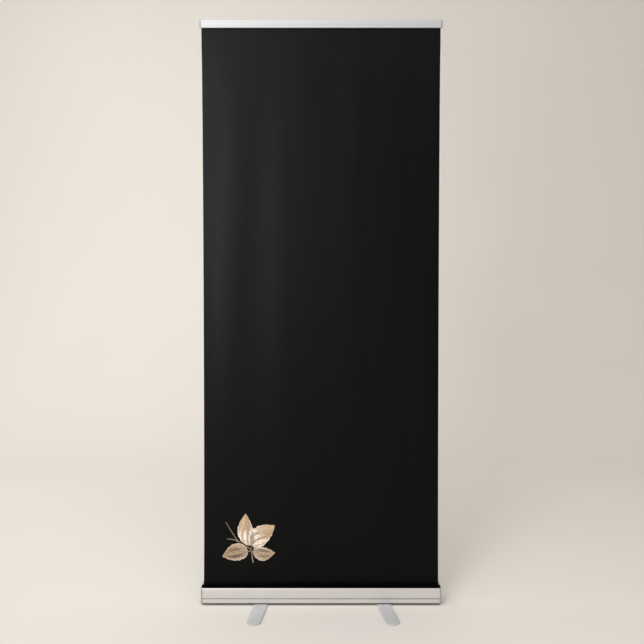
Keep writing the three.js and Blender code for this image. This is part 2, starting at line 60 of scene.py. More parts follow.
# ---------- the frame's sizes ----------
class Span:
    """One CAD node's box: low and high corner, middle and size."""

    def __init__(self, node):
        self.lo, self.hi = (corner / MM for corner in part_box(node))
        self.mid = (self.lo + self.hi) / 2
        self.size = self.hi - self.lo


HOUSING = Span("cassette_housing")
TRIM = Span("slot_trim")
SOCKET = Span("pole_socket")
FILM = Span("graphic_panel")
JAW = Span("top_rail_jaw")
RAIL_BODY = Span("top_rail_body")
RAIL_TOP = Span("left_rail_cap").hi.z
JOINTS = {joint["name"]: joint for joint in frame["joints"]}
CAD_SLOTS = {part["node"]: part["material_slot"] for part in frame["record"]["subparts"]}
SCREW_PLACES = ("front_low", "rear_low", "front_high", "rear_high")
WALL = 1.6  # of the housing and rail extrusions
TUBE_WALL = 1.2  # of the pole tubes
FILM_THICKNESS = 0.3
INK_PROUD = 0.12  # the printed sprig stands this far in front of the film
SCREW_PORT = {"bore": 1.85, "outer": 3.35}  # radii
SCREW_SEAT = 3.4  # radius of the end caps' sunk seats
RIVET_HOLE, RIVET_SHANK = 4.1, 3.8  # radii
HINGE_Y, HINGE_Z = (JOINTS["rail_jaw_open"]["pos_m"][i] / MM for i in (1, 2))

# ---------- studio, in metres and watts ----------
BACKDROP = (0.74, 0.705, 0.655)
LAMP_COLOUR = (1, 0.99, 0.98)
SKY_COLOUR = (1, 0.985, 0.965)
KEY_POWER = 8
FRONT_POWER = 88
TOP_POWER = 34
WALL_POWER = 55
WALL_SPREAD = math.radians(140)
SKY_STRENGTH = 0.62
LENS, SENSOR = 42.16, 36  # mm
CAMERA_AT = (0.0035, -2.705, 1.128)
CAMERA_TIP = 0.0411  # radians down from level


# ---------- material helpers ----------
def new_material(name, colour, roughness, metallic=0.0, specular=0.5):
    """A new material with its node tree and its Principled shader."""
    material = bpy.data.materials.new(name)
    material.use_nodes = True
    shader = material.node_tree.nodes["Principled BSDF"]
    shader.inputs["Base Color"].default_value = (*colour, 1)
    shader.inputs["Roughness"].default_value = roughness
    shader.inputs["Metallic"].default_value = metallic
    shader.inputs["Specular IOR Level"].default_value = specular
    return material, material.node_tree, shader


def object_noise(tree, scale, stretch=(1, 1, 1), *, detail):
    """Noise in object space. A stretch below 1 draws it out along that axis."""
    place = tree.nodes.new("ShaderNodeTexCoord")
    mapping = tree.nodes.new("ShaderNodeMapping")
    mapping.inputs["Scale"].default_value = stretch
    noise = tree.nodes.new("ShaderNodeTexNoise")
    noise.inputs["Scale"].default_value = scale
    noise.inputs["Detail"].default_value = detail
    tree.links.new(place.outputs["Object"], mapping.inputs["Vector"])
    tree.links.new(mapping.outputs["Vector"], noise.inputs["Vector"])
    return noise.outputs["Fac"]


def ramp(tree, value, low, high, start=0.3, end=0.7):
    """Runs from one grey or colour to another as value goes from start to end."""
    node = tree.nodes.new("ShaderNodeValToRGB")
    first, last = node.color_ramp.elements
    first.position, last.position = start, end
    first.color = (*low, 1) if hasattr(low, "__len__") else (low, low, low, 1)
    last.color = (*high, 1) if hasattr(high, "__len__") else (high, high, high, 1)
    tree.links.new(value, node.inputs["Fac"])
    return node.outputs["Color"]


def drive(tree, shader, socket, value, low, high):
    """Lets value run a shader's socket from low to high."""
    tree.links.new(ramp(tree, value, low, high), shader.inputs[socket])


def bump(tree, shader, height, distance, strength):
    node = tree.nodes.new("ShaderNodeBump")
    node.inputs["Distance"].default_value = distance
    node.inputs["Strength"].default_value = strength
    tree.links.new(height, node.inputs["Height"])
    tree.links.new(node.outputs["Normal"], shader.inputs["Normal"])


def tint(colour, factor):
    return tuple(c * factor for c in colour)


# ---------- materials ----------
def anodised(name, colour, roughness, along):
    """Drawn and anodised aluminium: fine die lines and slight streaks along one axis."""
    material, tree, shader = new_material(name, colour, roughness, metallic=0.55)
    stretch = tuple(0.006 if axis == along else 1.0 for axis in "xyz")
    lines = object_noise(tree, 900, stretch, detail=3)
    streaks = object_noise(tree, 160, stretch, detail=2)
    drive(tree, shader, "Roughness", streaks, roughness - 0.05, roughness + 0.07)
    drive(tree, shader, "Base Color", streaks, tint(colour, 0.96), colour)
    bump(tree, shader, lines, 0.05 * MM, 0.35)
    return material


def moulded(name, colour, roughness, specular=0.5):
    """Injection-moulded plastic with a spark-eroded grain and faint cloudy variation."""
    material, tree, shader = new_material(name, colour, roughness, specular=specular)
    cloud = object_noise(tree, 35, detail=3)
    drive(tree, shader, "Base Color", cloud, tint(colour, 0.9), tint(colour, 1.08))
    drive(tree, shader, "Roughness", cloud, roughness - 0.05, roughness + 0.08)
    bump(tree, shader, object_noise(tree, 1400, detail=2), 0.08 * MM, 0.4)
    return material


def plated(name, colour, roughness):
    """Zinc-plated or oiled steel: a soft crystalline mottle over a metal."""
    material, tree, shader = new_material(name, colour, roughness, metallic=1.0)
    mottle = object_noise(tree, 420, detail=5)
    drive(tree, shader, "Roughness", mottle, roughness - 0.08, roughness + 0.12)
    drive(tree, shader, "Base Color", mottle, tint(colour, 0.85), colour)
    bump(tree, shader, mottle, 0.02 * MM, 0.3)
    return material


def powder_coat(name, colour):
    """Silver powder coat on sheet steel: metallic flake over a fine orange peel."""
    material, tree, shader = new_material(name, colour, 0.42, metallic=0.15)
    flake = object_noise(tree, 2600, detail=1)
    drive(tree, shader, "Base Color", flake, tint(colour, 0.88), tint(colour, 1.06))
    peel = object_noise(tree, 380, detail=2)
    drive(tree, shader, "Roughness", peel, 0.36, 0.5)
    bump(tree, shader, peel, 0.05 * MM, 0.5)
    return material


def film(name, colour, roughness):
    """Polyester film: a satin face with long soft streaks down the web and a very fine tooth."""
    material, tree, shader = new_material(name, colour, roughness, specular=0.1)
    web = object_noise(tree, 9, (1, 1, 0.08), detail=3)
    drive(tree, shader, "Roughness", web, roughness - 0.04, roughness + 0.06)
    drive(tree, shader, "Base Color", web, tint(colour, 0.94), tint(colour, 1.06))
    bump(tree, shader, object_noise(tree, 1800, detail=2), 0.02 * MM, 0.3)
    return material


def rubber(name):
    """Black rubber, dull and grainy."""
    material, tree, shader = new_material(name, (0.02, 0.02, 0.02), 0.82, specular=0.3)
    grain = object_noise(tree, 900, detail=3)
    drive(tree, shader, "Roughness", grain, 0.74, 0.9)
    bump(tree, shader, grain, 0.08 * MM, 0.5)
    return material


def print_ink(name):
    """The sprig's ink: the tone is painted per vertex, with a little mottle in it."""
    material, tree, shader = new_material(name, (0.6, 0.42, 0.28), 0.45, specular=0.42)
    tone = tree.nodes.new("ShaderNodeVertexColor")
    tone.layer_name = "tone"
    wash = ramp(tree, object_noise(tree, 190, detail=6), 0.6, 1.0, 0.36, 0.6)
    mix = tree.nodes.new("ShaderNodeMix")
    mix.data_type, mix.blend_type = "RGBA", "MULTIPLY"
    mix.inputs["Factor"].default_value = 1.0
    tree.links.new(tone.outputs["Color"], mix.inputs["A"])
    tree.links.new(wash, mix.inputs["B"])
    tree.links.new(mix.outputs["Result"], shader.inputs["Base Color"])
    return material


MATERIALS = {
    "anodised_housing": anodised("anodised_housing", (0.655, 0.642, 0.625), 0.36, "x"),
    "anodised_rail": anodised("anodised_rail", (0.41, 0.415, 0.42), 0.47, "x"),
    "anodised_pole": anodised("anodised_pole", (0.72, 0.72, 0.72), 0.3, "z"),
    "silver_cap": moulded("silver_cap", (0.3, 0.3, 0.298), 0.42),
    "black_trim": moulded("black_trim", (0.001, 0.001, 0.001), 0.8, specular=0.02),
    "black_plastic": moulded("black_plastic", (0.014, 0.014, 0.016), 0.45),
    "graphic_film": film("graphic_film", (0.0008, 0.0008, 0.0009), 0.38),
    "film_back": film("film_back", (0.5, 0.5, 0.49), 0.55),
    "leader_film": film("leader_film", (0.42, 0.42, 0.4), 0.5),
    "galvanised_steel": plated("galvanised_steel", (0.58, 0.59, 0.6), 0.36),
    "screw_steel": plated("screw_steel", (0.62, 0.63, 0.64), 0.3),
    "spring_steel": plated("spring_steel", (0.16, 0.165, 0.18), 0.34),
    "foot_metal": powder_coat("foot_metal", (0.57, 0.575, 0.58)),
    "foot_rubber": rubber("foot_rubber"),
    "nylon": moulded("nylon", (0.72, 0.7, 0.62), 0.5),
}
INK = print_ink("sprig_ink")


# ---------- mesh helpers ----------
def fillet(points, steps=6):
    """A closed outline's points. A third number on a point is the radius that rounds its corner."""
    out = []
    count = len(points)
    for i, point in enumerate(points):
        here = Vector(point[:2])
        if len(point) < 3:
            out.append(here)
            continue
        before = (Vector(points[i - 1][:2]) - here).normalized()
        after = (Vector(points[(i + 1) % count][:2]) - here).normalized()
        half = before.angle(after) / 2
        reach = point[2] / math.tan(half)
        centre = here + (before + after).normalized() * point[2] / math.sin(half)
        start = here + before * reach - centre
        end = here + after * reach - centre
        turn = start.angle_signed(end)
        for k in range(steps + 1):
            spin = Matrix.Rotation(-turn * k / steps, 2)
            out.append(centre + spin @ start)
    return out


def smooth(mesh, degrees=32):
    mesh.shade_smooth()
    mesh.set_sharp_from_angle(angle=math.radians(degrees))


def object_of(name, mesh):
    thing = bpy.data.objects.new(name, mesh)
    bpy.context.scene.collection.objects.link(thing)
    return thing


def apply_modifiers(thing):
    bpy.context.view_layer.update()
    graph = bpy.context.evaluated_depsgraph_get()
    final = bpy.data.meshes.new_from_object(thing.evaluated_get(graph))
    thing.modifiers.clear()
    thing.data = final


def extrusion(name, outline, x0, x1):
    """A bar along X with a closed YZ section."""
    work = bmesh.new()
    ends = [[work.verts.new(Vector((x, p.x, p.y)) * MM) for p in outline] for x in (x0, x1)]
    for loop in ends:
        work.faces.new(loop)
    count = len(outline)
    for k in range(count):
        after = (k + 1) % count
        work.faces.new((ends[0][k], ends[0][after], ends[1][after], ends[1][k]))
    mesh = bpy.data.meshes.new(name)
    work.to_mesh(mesh)
    work.free()
    return object_of(name, cleaned(mesh))


def round_rim(bar, x, radius):
    """Rounds the edge all round one end face of a bar along X."""
    work = bmesh.new()
    work.from_mesh(bar.data)
    rim = [e for e in work.edges if all(abs(v.co.x - x * MM) < 1e-6 for v in e.verts)]
    bmesh.ops.bevel(
        work,
        geom=rim,
        offset=radius * MM,
        segments=5,
        profile=0.5,
        affect="EDGES",
        clamp_overlap=True,
    )
    work.to_mesh(bar.data)
    work.free()
    cleaned(bar.data)


def pin(radius, start, end, a, b, axis="z"):
    """A cutter: a round bar from start to end along Z through x, y, or along X through y, z."""
    profile = [(0, start), (radius, start), (radius, end), (0, end)]
    centre = (a, b, 0) if axis == "z" else (0, a, b)
    return revolved("cutter", profile, centre, axis, 48)


def block(low, high):
    """A cutter: a box between two corners."""
    work = bmesh.new()
    bmesh.ops.create_cube(work, size=1)
    low, high = Vector(low), Vector(high)
    middle, size = (low + high) / 2, high - low
    for vertex in work.verts:
        vertex.co = Vector(middle[i] + vertex.co[i] * size[i] for i in range(3)) * MM
    mesh = bpy.data.meshes.new("cutter")
    work.to_mesh(mesh)
    work.free()
    return object_of("cutter", mesh)


def cleaned(mesh, apart=1e-6):
    """The mesh with its doubled points merged and its normals turned outward."""
    work = bmesh.new()
    work.from_mesh(mesh)
    bmesh.ops.remove_doubles(work, verts=work.verts, dist=apart)
    bmesh.ops.recalc_face_normals(work, faces=work.faces)
    work.to_mesh(mesh)
    work.free()
    smooth(mesh)
    return mesh


def revolved(name, profile, centre, axis, steps, ribs=None):
    """A turned piece about an axis through centre, with profile points (radius, place along it).
    ribs(angle, along, radius) gives a change of radius there."""
    work = bmesh.new()
    rings = []
    for radius, along in profile:
        if radius < 1e-9:
            rings.append([work.verts.new((0, 0, along))] * steps)
            continue
        ring = []
        for k in range(steps):
            angle = 2 * math.pi * k / steps
            r = radius + (ribs(angle, along, radius) if ribs else 0)
            ring.append(work.verts.new((r * math.cos(angle), r * math.sin(angle), along)))
        rings.append(ring)
    for low, high in zip(rings, rings[1:]):
        for k in range(steps):
            corners = [low[k], low[(k + 1) % steps], high[(k + 1) % steps], high[k]]
            distinct = list(dict.fromkeys(corners))
            if len(distinct) > 2:
                work.faces.new(distinct)
    mesh = bpy.data.meshes.new(name)
    work.to_mesh(mesh)
    work.free()
    if axis == "x":
        mesh.transform(Matrix.Rotation(math.pi / 2, 4, "Y"))
    mesh.transform(Matrix.Scale(MM, 4) @ Matrix.Translation(centre))
    return object_of(name, cleaned(mesh))


def cut(thing, cutter):
    """Takes cutter away from thing and removes it."""
    modifier = thing.modifiers.new("cut", "BOOLEAN")
    modifier.operation, modifier.solver, modifier.object = "DIFFERENCE", "EXACT", cutter
    apply_modifiers(thing)
    bpy.data.objects.remove(cutter)
    smooth(thing.data)


def softened(node, width, segments=3):
    """A copy of a CAD node's mesh with its edges rounded."""
    mesh = frame["nodes"][node].data.copy()
    thing = object_of(node + "_visual", cleaned(mesh, 2e-5))
    work = bmesh.new()
    work.from_mesh(thing.data)
    bmesh.ops.dissolve_limit(work, angle_limit=math.radians(1), verts=work.verts, edges=work.edges)
    work.to_mesh(thing.data)
    work.free()
    edges = thing.modifiers.new("edges", "BEVEL")
    edges.width, edges.segments = width * MM, segments
    edges.limit_method, edges.angle_limit = "ANGLE", math.radians(30)
    edges.use_clamp_overlap = True
    apply_modifiers(thing)
    smooth(thing.data)
    return thing


def fit_out(thing, body, slot, *nodes, material=None):
    """Gives a piece its material, the slot's unless one is given, puts it on its body and hides the CAD nodes that
    it stands for.
    """
    thing.data.materials.clear()
    thing.data.materials.append(material or MATERIALS[slot])
    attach(thing, body)
    if nodes:
        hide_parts(*nodes)


# ---------- cassette base ----------
GROOVE = {"from": 24, "to": 26.2, "depth": 2.4}  # heights above the floor
BULGE = 0.8  # the front panel bows out by this much
TRIM_SEAT = 0.3  # clearance round the slot trim
SLOT_FRONT, SLOT_REAR = TRIM.hi.y + 0.4, TRIM.hi.y + 5.4
SHADE_STRIP_DROP = 1.4  # the black strip of painted shade under the lower lip reaches this far below the housing


def bulged_panel(front, low, high, steps=14):
    """The front panel's face, bowed forward in the middle, drawn from its top to its bottom."""
    points = []
    for k in range(steps + 1):
        share = k / steps
        points.append((front + BULGE * (2 * share - 1) ** 2, high + (low - high) * share))
    return points


def housing_section():
    """The shell from the panel's top down the front, under, up the back, over and round inside."""
    front, rear, bottom, top = HOUSING.lo.y, HOUSING.hi.y, HOUSING.lo.z, HOUSING.hi.z
    edge = front + BULGE
    floor = bottom + WALL + 0.4
    seat = TRIM.lo.z - TRIM_SEAT
    return fillet([
        (front + 2.2, top - 0.2, 0.9),
        (edge, top - 2.9, 1.1),
        *bulged_panel(front, GROOVE["to"] + 0.5, top - 3.8),
        (edge, GROOVE["to"], 0.25),
        (edge + GROOVE["depth"], GROOVE["to"], 0.3),
        (edge + GROOVE["depth"], GROOVE["from"], 0.3),
        (front + BULGE / 2, GROOVE["from"], 0.25),
        (front + 2.2, bottom + 2.2, 0.8),
        (front + 9, bottom, 2),
        (rear - 4, bottom, 1.5),
        (rear, bottom + 4, 1.5),
        (rear, top, 2),
        (SLOT_REAR, top, 0.8),
        (SLOT_REAR, top - 6, 0.6),
        (SLOT_REAR + WALL, top - 6, 0.6),
        (SLOT_REAR + WALL, top - WALL, 0.4),
        (rear - WALL, top - WALL, 1),
        (rear - WALL, floor, 1),
        (front + 7, floor, 1),
        (front + 4.4, bottom + 6),
        (front + 3 + WALL, GROOVE["from"] - 1),
        (front + 3 + WALL, GROOVE["to"] + 1),
        (front + 2.4, GROOVE["to"] + 4),
        (front + 2.4, seat - WALL - 2, 1),
        (front + 3.4, seat - WALL, 0.8),
        (SLOT_FRONT - WALL, seat - WALL, 0.4),
        (SLOT_FRONT - WALL, seat - 5, 0.5),
        (SLOT_FRONT, seat - 5, 0.5),
        (SLOT_FRONT, seat, 0.6),
        (TRIM.lo.y - 0.2, seat),
    ])


def build_housing():
    shell = extrusion("housing_extrusion", housing_section(), HOUSING.lo.x, HOUSING.hi.x)
    hole = (SOCKET.size.x / 2 - 1.2, SOCKET.lo.z - 1, HOUSING.hi.z + 2)
    cut(shell, pin(*hole, SOCKET.mid.x, SOCKET.mid.y))
    for washer in (Span("left_pivot_washer"), Span("right_pivot_washer")):
        hole = (RIVET_HOLE, HOUSING.lo.z - 1, HOUSING.lo.z + 4)
        cut(shell, pin(*hole, washer.mid.x, washer.mid.y))
    fit_out(shell, "base", "anodised_housing", "cassette_housing")
    for end in ("left", "right"):
        for place in SCREW_PLACES:
            build_screw_port(end, place)


def build_screw_port(end, place):
    """A tube in one half of the housing, which an end cap's screw bites into."""
    screw = Span(f"{end}_cap_screw_{place}")
    bore, outer = SCREW_PORT["bore"], SCREW_PORT["outer"]
    low, high = (0, HOUSING.hi.x) if end == "right" else (HOUSING.lo.x, 0)
    profile = [(bore, low), (outer, low), (outer, high), (bore, high), (bore, low)]
    centre = (0, screw.mid.y, screw.mid.z)
    port = revolved(f"{end}_screw_port_{place}", profile, centre, "x", 32)
    fit_out(port, "base", "anodised_housing")


def build_painted_shade():
    """Black strips of painted shade: one in the panel's groove that darkens its line, and one under the lower lip
    that deepens the dark line under the base.
    """
    front = HOUSING.lo.y + BULGE + 0.7
    back = HOUSING.lo.y + BULGE + GROOVE["depth"] - 0.05
    low, high = GROOVE["from"] + 0.05, GROOVE["from"] + 1.1
    # painted shade: a black strip over the groove's lower face that darkens the groove's line
    build_shade_strip("groove_shade_strip", [
        (front, low),
        (back, low),
        (back, high),
        (front + 0.6, high, 0.3),
        (front, low + 0.5, 0.3),
    ])
    front, bottom = HOUSING.lo.y, HOUSING.lo.z
    # painted shade: a black strip under the lower lip that deepens the dark line under the base
    build_shade_strip("underside_shade_strip", [
        (front + 2.8, bottom + 2.1, 0.3),
        (front + 2.8, bottom - SHADE_STRIP_DROP, 0.5),
        (front + 4.8, bottom - SHADE_STRIP_DROP, 0.5),
        (front + 9, bottom + 0.05),
    ])


def build_shade_strip(name, points):
    """A black strip along the whole housing that paints shade."""
    strip = extrusion(name, fillet(points), HOUSING.lo.x + 0.2, HOUSING.hi.x - 0.2)
    fit_out(strip, "base", "black_trim", material=MATERIALS["black_plastic"])


def build_trim():
    """The black lip in front of the slot, with two fine grooves along it."""
    front, rear, bottom, top = TRIM.lo.y, TRIM.hi.y, TRIM.lo.z, TRIM.hi.z
    points = [(front, top, 0.8), (front, bottom, 0.3), (rear, bottom, 0.3), (rear, top, 0.8)]
    for place in (rear - 4, rear - 6.4):
        points += [(place, top), (place - 0.4, top - 0.5, 0.15), (place - 0.8, top)]
    lip = extrusion("slot_lip", fillet(points), TRIM.lo.x, TRIM.hi.x)
    fit_out(lip, "base", "black_trim", "slot_trim")


def build_end_cap(end):
    """An end cap: a rounded rim, sunk screw seats, the roller pin's hole, the trim's notch."""
    side = -1 if end == "left" else 1
    box = Span(f"{end}_end_cap")
    front, rear, bottom, top = box.lo.y, box.hi.y, box.lo.z, box.hi.z
    section = fillet([
        (front + 1.6, top, 2),
        (front, top - 4.9, 3),
        (front, bottom + 4.9, 3),
        (front + 8.9, bottom, 2),
        (rear - 4.9, bottom, 2),
        (rear, bottom + 4.9, 2),
        (rear, top, 3),
    ], 8)
    cap = extrusion(f"{end}_cap_moulding", section, box.lo.x, box.hi.x)
    outer = box.hi.x if side > 0 else box.lo.x
    round_rim(cap, outer, 1.3)
    for place in SCREW_PLACES:
        screw = Span(f"{end}_cap_screw_{place}")
        cut(cap, pin(SCREW_SEAT, outer - 2, outer + 2, screw.mid.y, screw.mid.z, "x"))
    axle = Span("idle_axle_pin" if side < 0 else "spring_arbor")
    hole = (axle.size.y / 2 + 0.3, box.lo.x - 1, box.hi.x + 1)
    cut(cap, pin(*hole, axle.mid.y, axle.mid.z, "x"))
    notch_low = (box.lo.x - 1, TRIM.lo.y - TRIM_SEAT, TRIM.lo.z - TRIM_SEAT)
    notch_high = (box.hi.x + 1, TRIM.hi.y + TRIM_SEAT, top + 5)
    cut(cap, block(notch_low, notch_high))
    fit_out(cap, "base", "silver_cap", f"{end}_end_cap")


def build_cap_screw(end, place, turn):
    """A pan-head screw with a cross recess, turned to a different stop than its neighbours."""
    side = -1 if end == "left" else 1
    box = Span(f"{end}_cap_screw_{place}")
    inner, outer = (box.lo.x, box.hi.x) if side > 0 else (box.hi.x, box.lo.x)
    core, thread, turns = 1.2, 1.5, 20
    head = box.size.y / 2
    under_head = box.size.x - 1.8
    rim = under_head + 0.7
    profile = [(0, 0), (thread, 0)]
    for k in range(turns):
        step = under_head / turns
        profile += [(core, (k + 0.5) * step), (thread, (k + 1) * step)]
    profile += [(head, under_head), (head, rim)]
    for angle in (0.35, 0.7, 1.05, 1.35):
        profile.append((head * math.cos(angle), rim + 1.1 * math.sin(angle)))
    profile.append((0, box.size.x))
    placed = [(radius, inner + side * along) for radius, along in profile]
    screw = revolved(f"{end}_screw_{place}", placed, (0, box.mid.y, box.mid.z), "x", 32)
    for angle in (turn, turn + math.pi / 2):
        slot = block((-3, -1.9, -0.42), (3, 1.9, 0.42))
        spin = Matrix.Rotation(angle, 4, "X")
        shift = Matrix.Translation(Vector((outer + side * 1.7, box.mid.y, box.mid.z)) * MM)
        slot.data.transform(shift @ spin)
        cut(screw, slot)
    fit_out(screw, "base", "screw_steel", f"{end}_cap_screw_{place}")


# ---------- graphic ----------
# how far in from each side the film turns back, and its slope at the very edge
CURLS = {"left": {"width": 150.0, "slope": 0.11}, "right": {"width": 70.0, "slope": 0.08}}
# soft upright folds, where the film steps back: the place across at the floor, how far that place
# shifts per mm of height, and the width and depth of the step
FOLDS = [
    (-389, 0.085, 48, 1.3),
    (-200, 0.012, 48, -1.5),
    (79, 0.0, 42, -0.5),
    (230, 0.03, 60, 0.5),
]
CLAMPED = 95.0  # the film's top, upright and flat, so that it stays in the rail while it shortens
NECK = 0.0056  # the tight film draws in by this share of its width half way up
FILM_MARGIN = 0.25  # its middle stays this far inside the front and back of the CAD film's box


def film_point(across, z, front=0.0):
    """The film's point at a distance across from its middle, or one that far in front of it.
    The film leans back, folds a little, and its sides curl."""
    share = min((z - FILM.lo.z) / (FILM.size.z - CLAMPED), 1)
    free = math.sqrt(max(math.sin(math.pi * share), 0))
    lean = FILM.lo.y + FILM_MARGIN + (FILM.size.y - 2 * FILM_MARGIN) * share
    back = 0
    for place, shift, width, step in FOLDS:
        back += step * math.erf((across - place - shift * z) / width)
    curl = CURLS["left" if across < 0 else "right"]
    turned = max(curl["width"] - (FILM.size.x / 2 - abs(across)), 0)
    back += curl["slope"] * turned**2 / (2 * curl["width"])
    return Vector((across * (1 - NECK * free), lean + free * back - front, z))


def grid_rim(grid):
    """The four edges of a grid of points, one after the other round it."""
    return [grid[0], [row[-1] for row in grid], grid[-1][::-1], [row[0] for row in grid][::-1]]


def thin_sheet(name, columns, rows, point, thickness):
    """A closed sheet: a grid of front points, the same grid a thickness behind, and four edges.
    point(column, row, front) gives them, and the front takes the first material."""
    work = bmesh.new()
    layers = []
    for depth in (0, -thickness):
        layers.append([[work.verts.new(point(u, v, depth) * MM) for u in columns] for v in rows])
    front, back = layers
    for j in range(len(rows) - 1):
        for i in range(len(columns) - 1):
            work.faces.new((front[j][i], front[j][i + 1], front[j + 1][i + 1], front[j + 1][i]))
            face = work.faces.new((back[j][i], back[j + 1][i], back[j + 1][i + 1], back[j][i + 1]))
            face.material_index = 1
    for edge, edge_behind in zip(grid_rim(front), grid_rim(back)):
        for a, b, c, d in zip(edge, edge[1:], edge_behind[1:], edge_behind):
            work.faces.new((a, d, c, b)).material_index = 1
    mesh = bpy.data.meshes.new(name)
    work.to_mesh(mesh)
    work.free()
    smooth(mesh, 50)
    return object_of(name, mesh)


def build_graphic():
    """The film, black in front and grey behind."""
    rows = np.linspace(FILM.lo.z, FILM.hi.z, 101)
    columns = np.linspace(-FILM.size.x / 2, FILM.size.x / 2, 86)
    panel = thin_sheet("printed_film", columns, rows, film_point, FILM_THICKNESS)
    panel.data.materials.append(MATERIALS["graphic_film"])
    panel.data.materials.append(MATERIALS["film_back"])
    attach(panel, "base")
    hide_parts("graphic_panel")
    return panel


# ---------- printed sprig ----------
TAN, OCHRE, CREAM = (0.68, 0.48, 0.32), (0.5, 0.33, 0.2), (1.0, 0.9, 0.8)
BROWN, BARK, OLIVE = (0.09, 0.06, 0.035), (0.15, 0.13, 0.09), (0.36, 0.27, 0.16)
SPRIG_NODE = Vector((-254, 197))  # where the stems meet, x and z
# base and tip as x and z from the meeting point, half width, sideways bow, light, shade
LEAF_KEYS = ("base", "tip", "half", "bow", "light", "shade")
LEAVES = {
    "upright": ((-3, 10), (-20, 126), 29, 10, 1.0, 0.12),
    "leaning": ((4, 8), (86, 84), 34, 8, 1.0, 0.12),
    "low_left": ((-12, -8), (-104, -30), 31, -4, 0.2, 1.0),
    "low_right": ((7, -10), (87, -16), 25, -8, 0.3, 0.8),
}
STEM_HALF = {"start": 2.3, "end": 1.0}  # half widths
STEMS = [
    [(6, -16), (-6, 0), (-30, 13), (-56, 38), (-92, 95)],
    [(-28, 12), (-58, 30), (-88, 34)],
    [(-13, -8), (-2, -12), (3, 4)],
    [(8, -52), (3, -26), (2, -8), (1, 8)],
]


def mixed(first, second, share):
    share = min(max(share, 0), 1)
    return tuple(a + (b - a) * share for a, b in zip(first, second))


def painted(thing, colours):
    """Stores one colour per vertex, for the ink."""
    layer = thing.data.color_attributes.new("tone", "FLOAT_COLOR", "POINT")
    for vertex in thing.data.vertices:
        layer.data[vertex.index].color = (*colours[vertex.index], 1)


def build_leaf(name, leaf):
    """A leaf with a pointed tip and a toothed edge, along a bowed line from its base."""
    base, tip = (SPRIG_NODE + Vector(leaf[k]) for k in ("base", "tip"))
    along = tip - base
    normal = Vector((-along.y, along.x)).normalized()
    steps, sides = 48, 24

    def place(u, v, depth):
        bow = normal * leaf["bow"] * math.sin(math.pi * v)
        swell = math.sin(math.pi * v**0.85) ** (0.5 + 0.36 * v) if 0 < v < 1 else 0
        coarse = 0.07 * abs(math.sin(7 * math.pi * v + leaf["bow"]))
        fine = 0.03 * math.sin(31 * v + 2 * u)
        teeth = 1 + (coarse + fine) * abs(u)
        half = max(leaf["half"] * swell * (1.04 - 0.2 * v) * teeth, 0.02)
        spot = base + along * v + bow + normal * u * half
        return film_point(spot.x, spot.y, INK_PROUD + depth)

    columns, rows = np.linspace(1, -1, sides + 1), np.linspace(0, 1, steps + 1)
    thing = thin_sheet(name, columns, rows, place, INK_PROUD / 2)
    tones = []
    for j in range(steps + 1):
        for i in range(sides + 1):
            tones.append(leaf_tone(1 - 2 * i / sides, j / steps, leaf))
    painted(thing, tones * 2)  # the front, then the back
    return thing


def hump(offset, width):
    return math.exp(-((offset / width) ** 2))


def leaf_tone(u, v, leaf):
    """The ink at u across a leaf, -1 to 1, and v along it: tan to ochre, a cream glow in a lit
    leaf, dark folds in a shaded one, a pale rim, a thin dark midrib and fine veins."""
    glow = leaf["light"] * hump(v - 0.26, 0.2) * (0.6 + 0.6 * math.cos(9 * u + 14 * v))
    fold = hump(u - 0.5 + 1.1 * (v - 0.5) ** 2, 0.22) + 0.7 * hump(u + 0.35, 0.2)
    dusk = leaf["shade"] * fold * math.sin(math.pi * v)
    vein = (0.5 + 0.5 * math.cos(2 * math.pi * (8 * v - 2.4 * abs(u)))) ** 12
    midrib = hump(u, 0.045)
    rim = max(0, abs(u) - 0.84) / 0.16
    tone = mixed(mixed(TAN, OCHRE, 0.5 + 0.5 * math.sin(5 * v + 3 * u)), CREAM, 1.5 * glow)
    tone = mixed(tone, OLIVE, 0.5 * leaf["shade"])
    tone = mixed(mixed(tone, BROWN, dusk), BARK, 0.22 * vein + 0.3 * midrib)
    return mixed(tone, CREAM, 0.45 * rim)


def build_stem(name, points):
    """A tapering stroke along a smooth curve through the points."""
    path = smooth_path([SPRIG_NODE + Vector(p) for p in points])
    last = len(path) - 1

    def place(u, k, depth):
        before, after = path[max(k - 1, 0)], path[min(k + 1, last)]
        run = (after - before).normalized()
        half = STEM_HALF["start"] + (STEM_HALF["end"] - STEM_HALF["start"]) * k / last
        spot = path[k] + Vector((-run.y, run.x)) * u * half
        return film_point(spot.x, spot.y, INK_PROUD * 0.7 + depth)  # just behind the leaves

    thing = thin_sheet(name, (1, 0, -1), range(last + 1), place, INK_PROUD / 2)
    count = len(thing.data.vertices)
    painted(thing, [mixed(BARK, TAN, 0.22 + 0.2 * math.sin(i)) for i in range(count)])
    return thing


def smooth_path(knots, steps=10):
    """Catmull-Rom points through the knots."""
    ends = [knots[0], *knots, knots[-1]]
    path = []
    for a, b, c, d in zip(ends, ends[1:], ends[2:], ends[3:]):
        for k in range(steps):
            t = k / steps
            cubic = (3 * b - a - 3 * c + d) * t**3
            path.append((2 * b + (c - a) * t + (2 * a - 5 * b + 4 * c - d) * t * t + cubic) / 2)
    return [*path, knots[-1]]


def build_sprig():
    pieces = []
    for name, values in LEAVES.items():
        pieces.append(build_leaf(f"sprig_leaf_{name}", dict(zip(LEAF_KEYS, values))))
    pieces += [build_stem(f"sprig_stem_{i + 1}", points) for i, points in enumerate(STEMS)]
    for piece in pieces:
        fit_out(piece, "base", "graphic_film", material=INK)
    return pieces


# ---------- pole ----------
def flutes(count, depth, low, high, least):
    """Shallow finger flutes round a collar between two heights, on surfaces wider than least."""
    def change(angle, along, radius):
        if radius < least or not low < along < high:
            return 0
        ease = min(1, (along - low) / 1.5, (high - along) / 1.5)
        return -depth * ease * (0.5 + 0.5 * math.cos(count * angle)) ** 0.7
    return change


